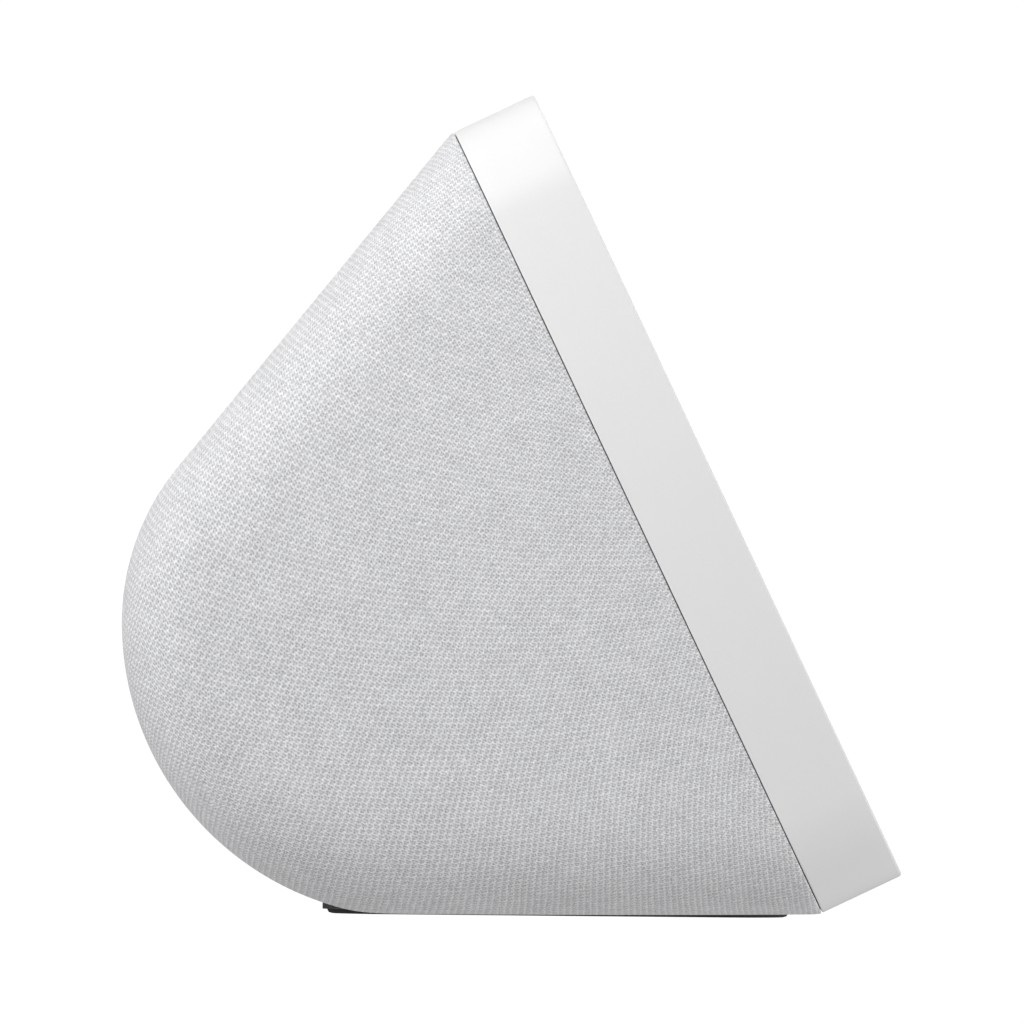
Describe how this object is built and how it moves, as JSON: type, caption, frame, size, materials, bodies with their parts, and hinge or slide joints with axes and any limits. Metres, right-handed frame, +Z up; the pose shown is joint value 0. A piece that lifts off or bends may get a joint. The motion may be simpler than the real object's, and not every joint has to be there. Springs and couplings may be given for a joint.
{
  "type": "smart speaker",
  "caption": "Tabletop smart speaker with a tilted screen in a white front frame, a knitted wedge-shaped body behind it, flush buttons, a camera shutter and a rubber foot.",
  "frame": {"origin": "on the resting surface, at the middle of the object's box", "axes": "+X is the width, to the right for someone who faces the screen, -Y is the way the screen faces, +Z is up"},
  "size_m": [0.147, 0.0867, 0.0912],
  "materials": {
    "frame_white": "satin",
    "knit": "knitted mesh",
    "clear_glass": "polished",
    "black_film": "printed",
    "screen": "polished",
    "diffuser": "matte",
    "steel": "stamped",
    "plated_steel": "plated",
    "circuit_board": "solder mask",
    "flex": "polyimide",
    "lens_glass": "coated",
    "black_plastic": "fine texture",
    "housing_white": "moulded",
    "shutter_orange": "moulded",
    "foot_rubber": "matte",
    "foam": "foam",
    "aluminium": "satin",
    "ferrite": "sintered",
    "paper": "pulp",
    "coil_copper": "wound wire",
    "spider_cloth": "woven",
    "thermal_gel": "soft",
    "wire_red": "smooth"
  },
  "bodies": {
    "body": {"front_frame": "frame_white", "cover_glass": "clear_glass", "border_film": "black_film", "glass_tape": "black_film", "lcd_panel": "screen", "backlight": "diffuser", "display_tray": "steel", "display_flex": "flex", "camera_board": "circuit_board", "camera_module": "black_plastic", "camera_lens": "lens_glass", "light_sensor": "black_plastic", "button_board": "circuit_board", "button_switches": "plated_steel", "microphones": "plated_steel", "mic_gaskets": "foam", "seam_gasket": "foot_rubber", "rear_housing": "housing_white", "fabric_cover": "knit", "base_plate": "black_plastic", "rubber_foot": "foot_rubber", "ballast_weight": "steel", "port_ring": "black_plastic", "dc_jack": "black_plastic", "jack_pin": "plated_steel", "power_board": "circuit_board", "power_wires": "wire_red", "speaker_box": "black_plastic", "speaker_gasket": "foam", "speaker_baffle": "black_plastic", "speaker_pads": "foam", "speaker_wires": "wire_red", "driver_basket": "aluminium", "driver_magnet": "ferrite", "driver_top_plate": "steel", "driver_yoke": "steel", "driver_spider": "spider_cloth", "driver_surround": "foot_rubber", "main_board": "circuit_board", "shield_cans": "steel", "thermal_pad": "thermal_gel", "heat_spreader": "aluminium", "antennas": "flex", "frame_screws": "plated_steel", "board_screws": "plated_steel", "driver_screws": "plated_steel", "base_screws": "plated_steel"},
    "volume_down": {"volume_down_button": "frame_white"},
    "volume_up": {"volume_up_button": "frame_white"},
    "mic_key": {"mic_button": "frame_white"},
    "shutter": {"shutter_knob": "frame_white", "shutter_blade": "shutter_orange"},
    "cone": {"driver_cone": "paper", "dust_cap": "paper", "voice_coil": "coil_copper"}
  },
  "joints": [
    {"name": "volume_down_press", "type": "slide", "parent": "body", "child": "volume_down", "axis": [0, -0.4352, -0.9003], "range_m": [0, 0.00035], "stiffness_N_per_m": 600, "springref_m": -0.0002},
    {"name": "volume_up_press", "type": "slide", "parent": "body", "child": "volume_up", "axis": [0, -0.4352, -0.9003], "range_m": [0, 0.00035], "stiffness_N_per_m": 600, "springref_m": -0.0002},
    {"name": "mic_press", "type": "slide", "parent": "body", "child": "mic_key", "axis": [0, -0.4352, -0.9003], "range_m": [0, 0.00035], "stiffness_N_per_m": 600, "springref_m": -0.0002},
    {"name": "shutter_slide", "type": "slide", "parent": "body", "child": "shutter", "axis": [1, 0, 0], "range_m": [0, 0.0052]},
    {"name": "cone_stroke", "type": "slide", "parent": "body", "child": "cone", "axis": [0, 1, 0], "range_m": [-0.001, 0.001], "stiffness_N_per_m": 400}
  ]
}
